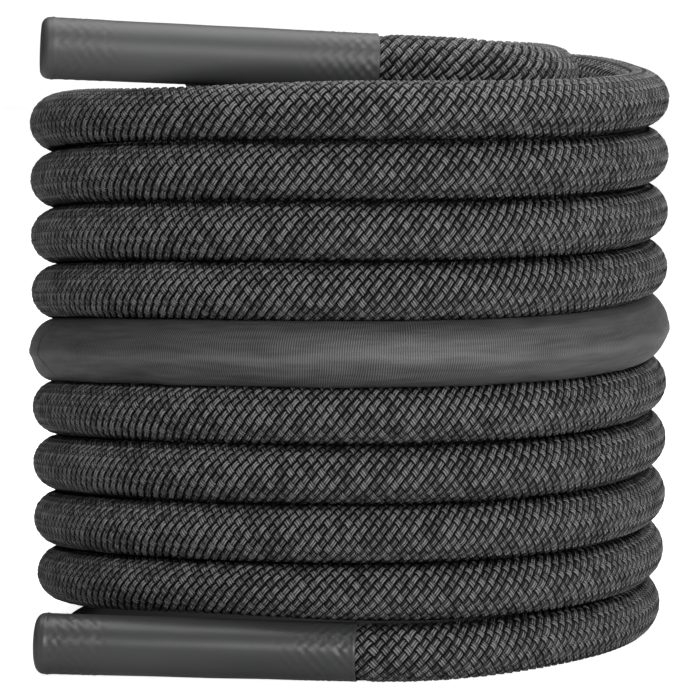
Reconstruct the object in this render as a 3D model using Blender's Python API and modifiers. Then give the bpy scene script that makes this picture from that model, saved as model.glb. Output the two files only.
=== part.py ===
"""Battle rope, wound into a standing coil of nine turns, with a shrunk grip boot on each end.

Metres, +Z up. The coil's axis is Z and its lowest turn lies on the floor at z = 0. The front is at -Y.
The rope starts in the lower boot at the front, rises anticlockwise seen from above, turns back on
itself inside the top of the coil, and ends in the upper boot, which lies across the top turn.
"""
import math

import bmesh
import bpy
import numpy as np
from mathutils import Vector, kdtree

# Rope: a braided jacket round a filler core. The turns press on each other, so it is wider than it is high.
ROPE_WIDTH = 0.0380
ROPE_HEIGHT = 0.0349
JACKET_WALL = 0.0058
ROPE_SIDES = 6
BORE_SIDES = 4

# Clearance between two pieces that touch on the real rope
FIT_GAP = 0.0003

# Coil
COIL_RADIUS = 0.1855
COIL_TUCK = 0.0030
TUCK_TURNS = 2.0
TURN_GAP = 0.0011
TURN_RISE = ROPE_HEIGHT + TURN_GAP
FIRST_TURN = 0.125
LAST_TURN = 9.25
POINTS_PER_TURN = 24
LEAD_IN_STEPS = 3
# Each turn leans back, so that the lowest one lies on the floor, and it ripples where it climbs to the next.
LEAN_SHARE = 0.60
RIPPLE_SHARE = 0.083

# Grip boots: heat-shrink tubes with a closed end
LOWER_BOOT_LENGTH = 0.1957
UPPER_BOOT_LENGTH = 0.2030
BOOT_TIP_RADIUS = 0.0184
BOOT_MOUTH_RADIUS = 0.0178
BOOT_BORE_RADIUS = 0.0170
BOOT_END_WALL = 0.0030
BOOT_CORNER_RADIUS = 0.0050
BOOT_RIDGE_HEIGHT = 0.0004
BOOT_RIDGE_WIDTH = 0.0012
BOOT_RIDGE_INSET = 0.0070
BOOT_SEGMENTS = 24
# The rope swells to its free width over this length outside a boot's mouth, and thins over it under the tape.
NECK_LENGTH = 0.0100
# Share of its size that the rope loses where a boot presses on it. Each row holds the turns at which
# the squeeze starts, is full, eases and ends.
SQUEEZE_SHARE = 0.08
LOWER_SQUEEZE_TURNS = (0.84, 0.91, 0.93, 1.04)
UPPER_SQUEEZE_TURNS = (8.80, 8.88, 8.92, 9.00)

# Wrap of tape on each rope end and the melted seal that closes it
TAPE_WIDTH = 0.0310
TAPE_THICKNESS = 0.0005
SEAL_THICKNESS = 0.0030
SEAL_EDGE = 0.0008

# Anchor sleeve, slid on to the rope's middle. It covers this share of the fifth turn, which is 1 m of rope.
SLEEVE_WALL = 0.0008
SLEEVE_TURN = 5.0
SLEEVE_TURN_SHARE = 0.858

# Lower boot: its mouth in front of the coil, how far the boot swings back, and how far its tip is raised
LOWER_MOUTH_X = 0.0050
LOWER_MOUTH_BULGE = 0.0015
LOWER_SWING = math.radians(5.5)
LOWER_TIP_RISE = 0.0017

# Route of the top stretch, chosen by hand from above the coil's right side to the upper boot's mouth.
# A row is shares of the coil's radius to the right and to the back, then the climb in turns.
TOP_ROUTE_SHARES = (
    (0.971, 0.214, 8.99), (0.897, 0.428, 9.06), (0.778, 0.619, 9.08), (0.618, 0.779, 9.07),
    (0.426, 0.898, 9.05), (0.212, 0.971, 9.04), (-0.013, 0.994, 9.03), (-0.234, 0.952, 9.065),
    (-0.413, 0.818, 9.145), (-0.498, 0.611, 9.225), (-0.467, 0.390, 9.305), (-0.327, 0.215, 9.375),
    (-0.118, 0.136, 9.395), (0.108, 0.148, 9.405), (0.333, 0.149, 9.42), (0.534, 0.051, 9.43),
    (0.659, -0.135, 9.42), (0.665, -0.350, 9.43), (0.560, -0.540, 9.50), (0.390, -0.655, 9.625),
    (0.199, -0.698, 9.685), (0.089, -0.7116, 9.713),
)
TIP_ROUTE_SHARES = (-0.995, -0.846, 10.000)

# Overrun of every cutter, and the distance within which points are welded
OVERRUN = 0.0050
WELD_DISTANCE = 0.00001

SLEEVE_STEP = SLEEVE_WALL + FIT_GAP
SLEEVE_LENGTH = SLEEVE_TURN_SHARE * 2 * math.pi * COIL_RADIUS
# The six-sided section reaches furthest at a corner. Inside a boot it is squeezed to a fit.
ROPE_REACH = max(ROPE_WIDTH / 2, math.hypot(ROPE_WIDTH / 4, ROPE_HEIGHT / 2))
TAPE_RADIUS = BOOT_BORE_RADIUS - FIT_GAP
TAPED_RADIUS = TAPE_RADIUS - TAPE_THICKNESS - FIT_GAP
SHRUNK_SHARE = (BOOT_BORE_RADIUS - FIT_GAP) / ROPE_REACH
TAPED_SHARE = TAPED_RADIUS / ROPE_REACH


def ramp(value, start, end):
    """Eases from 0 at start to 1 at end."""
    share = min(max((value - start) / (end - start), 0.0), 1.0)
    return share * share * (3 - 2 * share)


def squeeze(turn, squeeze_turns):
    """Share of its size that the rope has lost at this turn to the boot that presses on these turns."""
    start, full, ease, end = squeeze_turns
    return SQUEEZE_SHARE * ramp(turn, start, full) * (1 - ramp(turn, ease, end))


def coil_height(turn):
    """Height of the rope's middle after this many turns."""
    lean = LEAN_SHARE * TURN_RISE * (1 - math.cos(2 * math.pi * turn)) / 2
    ripple = RIPPLE_SHARE * TURN_RISE * math.sin(4 * math.pi * turn)
    start = SLEEVE_TURN - SLEEVE_TURN_SHARE / 2
    end = SLEEVE_TURN + SLEEVE_TURN_SHARE / 2
    lift = SLEEVE_STEP * ramp(turn, end - 1, start)
    lift += SLEEVE_STEP * ramp(turn, end, start + 1)
    lift += squeeze(turn, LOWER_SQUEEZE_TURNS) * ROPE_HEIGHT / 2
    lift -= squeeze(turn, UPPER_SQUEEZE_TURNS) * ROPE_HEIGHT / 2
    return BOOT_MOUTH_RADIUS + TURN_RISE * turn - lean - ripple + lift


def coil_point(turn):
    """Middle of the rope on the coil. Turn 0 is at the front centre, a quarter turn on is at the right."""
    radius = COIL_RADIUS - COIL_TUCK * (1 - ramp(turn, 0, TUCK_TURNS))
    angle = 2 * math.pi * turn
    return Vector((radius * math.sin(angle), -radius * math.cos(angle), coil_height(turn)))


def coil_share(turn):
    """Share of the rope's free size that is left on the coil at this turn."""
    return 1 - squeeze(turn, LOWER_SQUEEZE_TURNS) - squeeze(turn, UPPER_SQUEEZE_TURNS)


def top_point(shares):
    """Point of the top stretch, from shares of the coil's radius and a climb in turns."""
    right, back, climb = shares
    base = BOOT_MOUTH_RADIUS + 2 * SLEEVE_STEP
    return Vector((right * COIL_RADIUS, back * COIL_RADIUS, base + climb * TURN_RISE))


def rope_end(boot_length):
    """Distance from a boot's mouth to the rope's end inside it."""
    return boot_length - BOOT_END_WALL - SEAL_THICKNESS - 2 * FIT_GAP


def lower_boot_axis():
    """The lower boot's mouth, the direction from there to its tip and its length. It lies on the floor."""
    mouth = Vector((LOWER_MOUTH_X, -COIL_RADIUS - LOWER_MOUTH_BULGE, BOOT_MOUTH_RADIUS))
    rise = math.asin(LOWER_TIP_RISE / LOWER_BOOT_LENGTH)
    level = math.cos(rise)
    towards_tip = Vector((-level * math.cos(LOWER_SWING), level * math.sin(LOWER_SWING), math.sin(rise)))
    return mouth, towards_tip, LOWER_BOOT_LENGTH


def upper_boot_axis():
    """The upper boot's mouth, the direction from there to its tip and its length."""
    mouth = top_point(TOP_ROUTE_SHARES[-1])
    return mouth, (top_point(TIP_ROUTE_SHARES) - mouth).normalized(), UPPER_BOOT_LENGTH


def smooth_curve(points, per_span):
    """Points of a natural cubic curve through the given points, with per_span steps between two of them."""
    given = np.array(points)
    spans = np.linalg.norm(np.diff(given, axis=0), axis=1)
    count = len(given)
    matrix = np.zeros((count, count))
    sums = np.zeros((count, 3))
    matrix[0, 0] = matrix[-1, -1] = 1
    for i in range(1, count - 1):
        before, after = spans[i - 1], spans[i]
        matrix[i, i - 1:i + 2] = before, 2 * (before + after), after
        sums[i] = 6 * ((given[i + 1] - given[i]) / after - (given[i] - given[i - 1]) / before)
    bends = np.linalg.solve(matrix, sums)
    curve = []
    for i, span in enumerate(spans):
        for step in range(per_span):
            gone = span * step / per_span
            left = span - gone
            cubic = (bends[i] * left ** 3 + bends[i + 1] * gone ** 3) / (6 * span)
            start = (given[i] / span - bends[i] * span / 6) * left
            end = (given[i + 1] / span - bends[i + 1] * span / 6) * gone
            curve.append(Vector(cubic + start + end))
    curve.append(Vector(given[-1]))
    return curve


def boot_stretch(axis):
    """Route from the rope's end in a boot to the free rope past the mouth, as (point, share) pairs."""
    mouth, towards_tip, length = axis
    end = rope_end(length)
    places = (
        (end, TAPED_SHARE),
        (end - TAPE_WIDTH, TAPED_SHARE),
        (end - TAPE_WIDTH - NECK_LENGTH, SHRUNK_SHARE),
        (0, SHRUNK_SHARE),
        (-NECK_LENGTH, 1),
    )
    return [(mouth + towards_tip * place, share) for place, share in places]


def rope_route():
    """The whole rope, from its end in the lower boot to the one in the upper, as (point, share) pairs."""
    lower = boot_stretch(lower_boot_axis())
    upper = boot_stretch(upper_boot_axis())[::-1]
    first = round(FIRST_TURN * POINTS_PER_TURN)
    last = round(LAST_TURN * POINTS_PER_TURN)
    turns = [i / POINTS_PER_TURN for i in range(first, last + 1)]
    coil = [(coil_point(turn), coil_share(turn)) for turn in turns]
    bend = smooth_curve([lower[-2][0], lower[-1][0]] + [point for point, share in coil[:3]], LEAD_IN_STEPS)
    lead_in = [(point, 1) for point in bend[LEAD_IN_STEPS + 1:2 * LEAD_IN_STEPS]]
    top = [(top_point(shares), 1) for shares in TOP_ROUTE_SHARES[:-1]]
    return lower + lead_in + coil + top + upper


def lengths_along(points):
    """Distance from the first point to each point."""
    gone = [0.0]
    for before, after in zip(points, points[1:]):
        gone.append(gone[-1] + (after - before).length)
    return gone


def stretch_about(route, middle, length):
    """The part of the route of this length about a point, cut to length on the route's own straight spans."""
    points = [point for point, share in route]
    gone = lengths_along(points)
    centre = gone[min(range(len(points)), key=lambda i: (points[i] - middle).length)]
    start, end = centre - length / 2, centre + length / 2
    part = []
    for i in range(len(points) - 1):
        span = gone[i + 1] - gone[i]
        if gone[i] <= start < gone[i + 1]:
            part.append((points[i].lerp(points[i + 1], (start - gone[i]) / span), 1))
        if start < gone[i + 1] < end:
            part.append((points[i + 1], 1))
        if gone[i] < end <= gone[i + 1]:
            part.append((points[i].lerp(points[i + 1], (end - gone[i]) / span), 1))
    return part


def section_corners(half_width, half_height, sides):
    """Corners of a rope section, with a flat top and bottom where it has six sides."""
    top = max(math.sin(2 * math.pi * i / sides) for i in range(sides))
    corners = []
    for i in range(sides):
        angle = 2 * math.pi * i / sides
        corners.append((half_width * math.cos(angle), half_height / top * math.sin(angle)))
    return corners


def make_material(name, colour, roughness, metallic=0.0):
    material = bpy.data.materials.new(name)
    material.use_nodes = True
    material.diffuse_color = (*colour, 1)
    shader = material.node_tree.nodes["Principled BSDF"]
    shader.inputs["Base Color"].default_value = (*colour, 1)
    shader.inputs["Roughness"].default_value = roughness
    shader.inputs["Metallic"].default_value = metallic
    return material


def make_guide(thing):
    """Moves a cutter or a guide to its collection and keeps it out of renders."""
    for collection in list(thing.users_collection):
        collection.objects.unlink(thing)
    guides.objects.link(thing)
    thing.hide_render = True
    thing.display_type = "WIRE"
    return thing


def make_tube(name, route, half_width, half_height, sides):
    """A closed tube along the route, as a mesh object with its end caps welded."""
    section = bpy.data.curves.new(name + "_section", "CURVE")
    section.dimensions = "2D"
    outline = section.splines.new("POLY")
    corners = section_corners(half_width, half_height, sides)
    outline.points.add(len(corners) - 1)
    for point, corner in zip(outline.points, corners):
        point.co = (*corner, 0, 1)
    outline.use_cyclic_u = True
    section_object = make_guide(bpy.data.objects.new(name + "_section", section))

    path = bpy.data.curves.new(name + "_path", "CURVE")
    path.dimensions = "3D"
    path.twist_mode = "Z_UP"
    path.bevel_mode = "OBJECT"
    path.bevel_object = section_object
    path.use_fill_caps = True
    spline = path.splines.new("POLY")
    spline.points.add(len(route) - 1)
    for point, (place, share) in zip(spline.points, route):
        point.co = (*place, 1)
        point.radius = share
    path_object = bpy.data.objects.new(name + "_path", path)
    parts.objects.link(path_object)

    bpy.context.view_layer.update()
    evaluated = path_object.evaluated_get(bpy.context.evaluated_depsgraph_get())
    mesh = bpy.data.meshes.new_from_object(evaluated)
    mesh.name = name
    shape = bmesh.new()
    shape.from_mesh(mesh)
    bmesh.ops.remove_doubles(shape, verts=shape.verts, dist=WELD_DISTANCE)
    # The same diagonal everywhere keeps the gap even between two tubes on one route
    bmesh.ops.triangulate(shape, faces=shape.faces, quad_method="FIXED")
    bmesh.ops.recalc_face_normals(shape, faces=shape.faces)
    shape.to_mesh(mesh)
    shape.free()
    mesh.materials.clear()
    tube = bpy.data.objects.new(name, mesh)
    tube.matrix_world = path_object.matrix_world
    parts.objects.link(tube)
    bpy.data.objects.remove(path_object)
    bpy.data.objects.remove(section_object)
    return tube


def cut_away(piece, cutter):
    boolean = piece.modifiers.new("cut_" + cutter.name, "BOOLEAN")
    boolean.operation = "DIFFERENCE"
    boolean.solver = "EXACT"
    boolean.object = make_guide(cutter)


def run_past_ends(route):
    """The route with both ends carried on by the overrun, for a cutter that opens both ends."""
    (first, first_share), (last, last_share) = route[0], route[-1]
    before = first + (first - route[1][0]).normalized() * OVERRUN
    after = last + (last - route[-2][0]).normalized() * OVERRUN
    return [(before, first_share), *route, (after, last_share)]


def make_turned(name, profile, axis, material, closed):
    """Turns a profile of (radius, place along the axis) points about a boot's axis."""
    mesh = bpy.data.meshes.new(name)
    ends = [(i, i + 1) for i in range(len(profile) - 1)]
    if closed:
        ends.append((len(profile) - 1, 0))
    mesh.from_pydata([(radius, 0, place) for radius, place in profile], ends, [])
    piece = bpy.data.objects.new(name, mesh)
    parts.objects.link(piece)
    screw = piece.modifiers.new("turn", "SCREW")
    screw.steps = screw.render_steps = BOOT_SEGMENTS
    screw.use_merge_vertices = True
    screw.merge_threshold = WELD_DISTANCE
    mouth, towards_tip, length = axis
    piece.location = mouth
    piece.rotation_euler = towards_tip.to_track_quat("Z", "Y").to_euler()
    mesh.materials.append(material)
    return piece


def make_jacket(route, material):
    """Braided jacket: one unbroken tube, open at both ends and pressed flat where it lies on the floor."""
    jacket = make_tube("rope_jacket", route, ROPE_WIDTH / 2, ROPE_HEIGHT / 2, ROPE_SIDES)
    bore_width = ROPE_WIDTH / 2 - JACKET_WALL
    bore_height = ROPE_HEIGHT / 2 - JACKET_WALL
    bore = make_tube("jacket_bore", run_past_ends(route), bore_width, bore_height, BORE_SIDES)
    cut_away(jacket, bore)
    reach = 2 * (COIL_RADIUS + ROPE_WIDTH)
    bpy.ops.mesh.primitive_cube_add(size=1, location=(0, 0, -ROPE_WIDTH / 2))
    floor = bpy.context.object
    floor.name = "floor_cut"
    floor.scale = (reach, reach, ROPE_WIDTH)
    cut_away(jacket, floor)
    jacket.data.materials.append(material)
    return jacket


def make_core(route, material):
    """Filler core of straight strands, drawn as one body, a fit inside the jacket."""
    half_width = ROPE_WIDTH / 2 - JACKET_WALL - FIT_GAP
    half_height = ROPE_HEIGHT / 2 - JACKET_WALL - FIT_GAP
    core = make_tube("rope_core", route, half_width, half_height, BORE_SIDES)
    core.data.materials.append(material)
    return core


def make_sleeve(route, material):
    """Anchor sleeve: a tube of webbing round the rope's middle, open at both ends."""
    part = stretch_about(route, coil_point(SLEEVE_TURN), SLEEVE_LENGTH)
    slant = 1 / math.cos(math.pi / ROPE_SIDES)
    half_width, half_height = ROPE_WIDTH / 2, ROPE_HEIGHT / 2
    sleeve = make_tube("anchor_sleeve", part, half_width + SLEEVE_STEP * slant,
                       half_height + SLEEVE_STEP, ROPE_SIDES)
    bore = make_tube("sleeve_bore", run_past_ends(part), half_width + FIT_GAP * slant,
                     half_height + FIT_GAP, ROPE_SIDES)
    cut_away(sleeve, bore)
    sleeve.data.materials.append(material)
    return sleeve


def make_boot(name, axis, material):
    """Grip boot: tapered shrink tube with a rounded closed end and a thin ridge round it near the tip."""
    length = axis[-1]
    corner_middle = BOOT_TIP_RADIUS - BOOT_CORNER_RADIUS
    profile = [(0, length)]
    corner_steps = 4
    for step in range(corner_steps + 1):
        angle = math.pi / 2 * (1 - step / corner_steps)
        profile.append((corner_middle + BOOT_CORNER_RADIUS * math.cos(angle),
                        length - BOOT_CORNER_RADIUS * (1 - math.sin(angle))))
    ridge_top = length - BOOT_RIDGE_INSET
    profile += [
        (BOOT_TIP_RADIUS, ridge_top + BOOT_RIDGE_WIDTH / 2),
        (BOOT_TIP_RADIUS + BOOT_RIDGE_HEIGHT, ridge_top),
        (BOOT_TIP_RADIUS, ridge_top - BOOT_RIDGE_WIDTH / 2),
        (BOOT_MOUTH_RADIUS, 0),
        (BOOT_BORE_RADIUS, 0),
        (BOOT_BORE_RADIUS, length - BOOT_END_WALL),
        (0, length - BOOT_END_WALL),
    ]
    return make_turned(name, profile, axis, material, closed=False)


def make_tape(name, axis, material):
    """Tape wound round the rope end, under the boot."""
    inner = TAPE_RADIUS - TAPE_THICKNESS
    top = rope_end(axis[-1])
    bottom = top - TAPE_WIDTH
    profile = [(TAPE_RADIUS, top), (TAPE_RADIUS, bottom), (inner, bottom), (inner, top)]
    return make_turned(name, profile, axis, material, closed=True)


def make_seal(name, axis, material):
    """Melted end of the rope: a hard disc between the cut fibres and the boot's closed end."""
    bottom = rope_end(axis[-1]) + FIT_GAP
    top = bottom + SEAL_THICKNESS
    profile = [
        (0, top),
        (TAPED_RADIUS - SEAL_EDGE, top),
        (TAPED_RADIUS, top - SEAL_EDGE),
        (TAPED_RADIUS, bottom),
        (0, bottom),
    ]
    return make_turned(name, profile, axis, material, closed=False)


def section_reach(direction, tangent, share):
    """How far the rope's section reaches from its middle in a direction that is square to the rope."""
    sideways = tangent.cross(Vector((0, 0, 1))).normalized()
    side = abs(direction.dot(sideways)) * ROPE_WIDTH / 2
    upright = abs(direction.dot(sideways.cross(tangent))) * ROPE_HEIGHT / 2
    return share * max(side, side / 2 + upright)


def measure_route(route):
    """Prints the rope's length, its least gap to itself and the least gap from the coil to each boot."""
    fine = []
    for (start, start_share), (end, end_share) in zip(route, route[1:]):
        steps = max(1, round((end - start).length / (ROPE_WIDTH / 20)))
        tangent = (end - start).normalized()
        for step in range(steps):
            along = step / steps
            fine.append((start.lerp(end, along), start_share + (end_share - start_share) * along, tangent))
    gone = lengths_along([point for point, share, tangent in fine])
    tree = kdtree.KDTree(len(fine))
    for i, (point, share, tangent) in enumerate(fine):
        tree.insert(point, i)
    tree.balance()
    gaps, boot_gaps = [], []
    for i, (point, share, tangent) in enumerate(fine):
        near = tree.find_range(point, 1.2 * ROPE_WIDTH)
        near = [(apart, j) for other, j, apart in near if abs(gone[j] - gone[i]) > 4 * ROPE_WIDTH]
        if not near:
            continue
        apart, j = min(near)
        across = fine[j][0] - point
        across -= tangent * across.dot(tangent)
        direction = across.normalized()
        reach = section_reach(direction, fine[j][2], fine[j][1])
        upright = tangent.cross(Vector((0, 0, 1))).cross(tangent).normalized()
        ways_apart = []
        for way in (direction, upright):
            reaches = section_reach(way, fine[j][2], fine[j][1]) + section_reach(way, tangent, share)
            ways_apart.append(abs(across.dot(way)) - reaches)
        gaps.append(max(ways_apart))
        for from_end, length in ((gone[i], LOWER_BOOT_LENGTH), (gone[-1] - gone[i], UPPER_BOOT_LENGTH)):
            if from_end < rope_end(length):
                taper = (BOOT_TIP_RADIUS - BOOT_MOUTH_RADIUS) * (1 - from_end / length)
                boot_gaps.append(across.length - reach - BOOT_MOUTH_RADIUS - taper)
    print(f"rope length {gone[-1]:.3f} m")
    print(f"least gap of the rope to itself {min(gaps) * 1000:.2f} mm")
    print(f"least gap of the coil to a boot {min(boot_gaps) * 1000:.2f} mm")


for old in list(bpy.data.objects):
    bpy.data.objects.remove(old, do_unlink=True)
parts = bpy.data.collections.new("battle_rope")
guides = bpy.data.collections.new("cutters")
bpy.context.scene.collection.children.link(parts)
bpy.context.scene.collection.children.link(guides)

braid_black = make_material("braid_black", (0.050, 0.050, 0.052), 0.75)
core_grey = make_material("core_grey", (0.45, 0.44, 0.42), 0.90)
webbing_black = make_material("webbing_black", (0.040, 0.040, 0.042), 0.65)
shrink_black = make_material("shrink_black", (0.045, 0.045, 0.048), 0.40)
tape_black = make_material("tape_black", (0.020, 0.020, 0.022), 0.50)
melted_black = make_material("melted_black", (0.015, 0.015, 0.015), 0.30)

rope = rope_route()
make_jacket(rope, braid_black)
make_core(rope, core_grey)
make_sleeve(rope, webbing_black)
for end_name, boot_axis in (("lower", lower_boot_axis()), ("upper", upper_boot_axis())):
    make_boot(end_name + "_grip_boot", boot_axis, shrink_black)
    make_tape(end_name + "_end_tape", boot_axis, tape_black)
    make_seal(end_name + "_end_seal", boot_axis, melted_black)
measure_route(rope)
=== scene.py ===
"""Battle rope wound into a standing coil of nine turns, on the floor of a photographer's studio.

The sections follow the rope as it is made: the route it lies on, the braid, the anchor sleeve, the grip
boots, what the boots hide, and last the floor and the lights. Metres, +Z up, the front at -Y.
"""
import math

import bmesh
import bpy
import numpy as np
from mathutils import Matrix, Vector, noise


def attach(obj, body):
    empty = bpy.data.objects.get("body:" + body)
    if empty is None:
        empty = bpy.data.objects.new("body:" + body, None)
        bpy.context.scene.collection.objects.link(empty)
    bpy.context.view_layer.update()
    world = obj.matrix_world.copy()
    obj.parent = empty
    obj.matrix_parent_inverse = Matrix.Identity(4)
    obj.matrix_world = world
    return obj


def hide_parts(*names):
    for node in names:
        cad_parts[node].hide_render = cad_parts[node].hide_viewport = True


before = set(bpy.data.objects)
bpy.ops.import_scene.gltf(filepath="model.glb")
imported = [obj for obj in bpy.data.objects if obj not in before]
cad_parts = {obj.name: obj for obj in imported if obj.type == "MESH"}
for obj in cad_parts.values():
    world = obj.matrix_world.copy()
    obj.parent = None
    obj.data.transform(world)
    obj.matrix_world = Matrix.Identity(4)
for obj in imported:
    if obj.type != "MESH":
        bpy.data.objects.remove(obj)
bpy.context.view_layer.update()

# ---- Camera ----
# It stands 2.4 m in front of the coil and looks down on it by seven degrees, through a long lens, so that
# the turns show almost level.
camera_data = bpy.data.cameras.new("camera")
camera_data.sensor_width = 36.0
camera_data.lens = 196.2
camera = bpy.data.objects.new("camera", camera_data)
camera.location = (0.00046, -2.44727, 0.47501)
camera.rotation_euler = (math.pi / 2 - 0.12057, 0, 0)
bpy.context.scene.collection.objects.link(camera)
bpy.context.scene.camera = camera

# ---- Route of the rope ----
# The rope is 12 m long and 38 mm thick. It starts in the lower boot, climbs nine turns, turns back on
# itself inside the top of the coil, and ends in the upper boot. The points are those of the CAD source.
rope_width = 0.0380
rope_height = 0.0349
turn_rise = rope_height + 0.0011
coil_radius = 0.1855
coil_tuck = 0.0030
sleeve_turn = 5.0
sleeve_half_turns = 0.429
sleeve_step = 0.0011
lower_length = 0.1957
upper_length = 0.2030
boot_mouth_radius = 0.0178
boot_tip_radius = 0.0184
end_room = 0.0066
tape_width = 0.0310
neck_length = 0.0100
shrunk_share, taped_share = 0.90, 0.88
squeeze_share = 0.08
lean_share, ripple_share = 0.60, 0.083
tuck_turns = 2.0
points_per_turn = 24
steps_between = 6

# Each row is shares of the coil's radius to the right and to the back, then the climb in turns.
top_rows = (
    (0.971, 0.214, 8.99), (0.897, 0.428, 9.06), (0.778, 0.619, 9.08), (0.618, 0.779, 9.07),
    (0.426, 0.898, 9.05), (0.212, 0.971, 9.04), (-0.013, 0.994, 9.03), (-0.234, 0.952, 9.065),
    (-0.413, 0.818, 9.145), (-0.498, 0.611, 9.225), (-0.467, 0.390, 9.305), (-0.327, 0.215, 9.375),
    (-0.118, 0.136, 9.395), (0.108, 0.148, 9.405), (0.333, 0.149, 9.42), (0.534, 0.051, 9.43),
    (0.659, -0.135, 9.42), (0.665, -0.350, 9.43), (0.560, -0.540, 9.50), (0.390, -0.655, 9.625),
    (0.199, -0.698, 9.685), (0.089, -0.7116, 9.713), (-0.995, -0.846, 10.000),
)


def ramp(value, start, end):
    """Eases from 0 at start to 1 at end."""
    share = min(max((value - start) / (end - start), 0.0), 1.0)
    return share * share * (3 - 2 * share)


def coil_knot(turn):
    """Middle of the rope after this many turns, and the share of its size that the boots leave it."""
    lower = squeeze_share * ramp(turn, 0.84, 0.91) * (1 - ramp(turn, 0.93, 1.04))
    upper = squeeze_share * ramp(turn, 8.80, 8.88) * (1 - ramp(turn, 8.92, 9.00))
    lean = lean_share * turn_rise * (1 - math.cos(2 * math.pi * turn)) / 2
    ripple = ripple_share * turn_rise * math.sin(4 * math.pi * turn)
    start, end = sleeve_turn - sleeve_half_turns, sleeve_turn + sleeve_half_turns
    lift = sleeve_step * (ramp(turn, end - 1, start) + ramp(turn, end, start + 1))
    height = boot_mouth_radius + turn_rise * turn - lean - ripple + lift
    height += (lower - upper) * rope_height / 2
    radius = coil_radius - coil_tuck * (1 - ramp(turn, 0, tuck_turns))
    angle = 2 * math.pi * turn
    return (radius * math.sin(angle), -radius * math.cos(angle), height, 1 - lower - upper)


def boot_knots(mouth, towards_tip, length):
    """Points from the rope's end in a boot to outside its mouth, where the rope has its full width."""
    end = length - end_room
    places = [(end, taped_share), (end - tape_width, taped_share)]
    places += [(place, shrunk_share)
               for place in (end - tape_width - neck_length, 0.100, 0.050, 0.015, 0.0)]
    return [(*(mouth + towards_tip * place), share) for place, share in [*places, (-neck_length, 1.0)]]


top_points = [Vector((right * coil_radius, back * coil_radius,
                      boot_mouth_radius + 2 * sleeve_step + climb * turn_rise))
              for right, back, climb in top_rows]
upper_mouth = top_points[-2]
upper_towards_tip = (top_points[-1] - upper_mouth).normalized()
lower_mouth = Vector((0.0050, -coil_radius - 0.0015, boot_mouth_radius))
lower_rise = math.asin(0.0017 / lower_length)
lower_swing = math.radians(5.5)
lower_towards_tip = Vector((-math.cos(lower_rise) * math.cos(lower_swing),
                            math.cos(lower_rise) * math.sin(lower_swing), math.sin(lower_rise)))

knots = boot_knots(lower_mouth, lower_towards_tip, lower_length)
knots += [coil_knot(step / points_per_turn) for step in range(3, 223)]
knots += [(*point, 1.0) for point in top_points[:-2]]
knots += boot_knots(upper_mouth, upper_towards_tip, upper_length)[::-1]


def smooth_line(points, steps):
    """Natural cubic curve through the points, with this many steps between two of them."""
    points = np.array(points)
    spans = np.linalg.norm(np.diff(points[:, :3], axis=0), axis=1)
    slopes = np.diff(points, axis=0) / spans[:, None]
    matrix = np.eye(len(points))
    right_side = np.zeros_like(points)
    for i in range(1, len(points) - 1):
        matrix[i, i - 1:i + 2] = spans[i - 1], 2 * (spans[i - 1] + spans[i]), spans[i]
        right_side[i] = 6 * (slopes[i] - slopes[i - 1])
    bends = np.linalg.solve(matrix, right_side)
    line = []
    for i, span in enumerate(spans):
        for step in range(steps):
            gone, left = span * step / steps, span - span * step / steps
            bulge = (bends[i] * left ** 3 + bends[i + 1] * gone ** 3) / (6 * span)
            line.append(bulge + (points[i] / span - bends[i] * span / 6) * left
                        + (points[i + 1] / span - bends[i + 1] * span / 6) * gone)
    return np.array(line + [points[-1]])


route = smooth_line(knots, steps_between)
route[:, 3] = np.interp(np.arange(len(route)) / steps_between, np.arange(len(knots)),
                        [knot[3] for knot in knots])
run = np.concatenate([[0], np.cumsum(np.linalg.norm(np.diff(route[:, :3], axis=0), axis=1))])
rope_length = float(run[-1])


def run_of_turn(turn):
    """Length of rope from its lower end to where it has made this many turns."""
    return float(run[np.argmin(np.linalg.norm(route[:, :3] - coil_knot(turn)[:3], axis=1))])


rope_curve = bpy.data.curves.new("rope_line", "CURVE")
rope_curve.dimensions = "3D"
rope_spline = rope_curve.splines.new("POLY")
rope_spline.points.add(len(route) - 1)
for point, (x, y, z, share) in zip(rope_spline.points, route):
    point.co = (x, y, z, 1)
    point.radius = share
rope_line = bpy.data.objects.new("rope_line", rope_curve)
bpy.context.scene.collection.objects.link(rope_line)

# ---- Inside of the braid ----
# Under the strands that show lie the ones that they cross. They are drawn as one tube a little below the
# surface, which has the rope's whole length and runs on through the sleeve and into both boots. Its
# colour is far darker than the strands' own, as painted shade in the gaps between the pads.
braid_depth = 0.0016
floor_gap = 0.0005
boot_gap = 0.0004
boot_lead = 0.002


def new_tree(name, *inputs):
    """A geometry tree with named inputs, and its input and output nodes."""
    tree = bpy.data.node_groups.new(name, "GeometryNodeTree")
    tree.interface.new_socket("Geometry", in_out="INPUT", socket_type="NodeSocketGeometry")
    for label, kind in inputs:
        tree.interface.new_socket(label, in_out="INPUT", socket_type="NodeSocket" + kind)
    tree.interface.new_socket("Geometry", in_out="OUTPUT", socket_type="NodeSocketGeometry")
    return tree, tree.nodes.new("NodeGroupInput").outputs, tree.nodes.new("NodeGroupOutput").inputs[0]


def put(tree, kind, *values, **options):
    """Adds a node, sets its options, and wires or fills its inputs in their order. Gives its outputs."""
    node = tree.nodes.new(kind)
    for name, value in options.items():
        setattr(node, name, value)
    for socket, value in zip([socket for socket in node.inputs if socket.enabled], values):
        if isinstance(value, bpy.types.NodeSocket):
            tree.links.new(value, socket)
        elif value is not None:
            socket.default_value = value
    return [socket for socket in node.outputs if socket.enabled]


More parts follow.
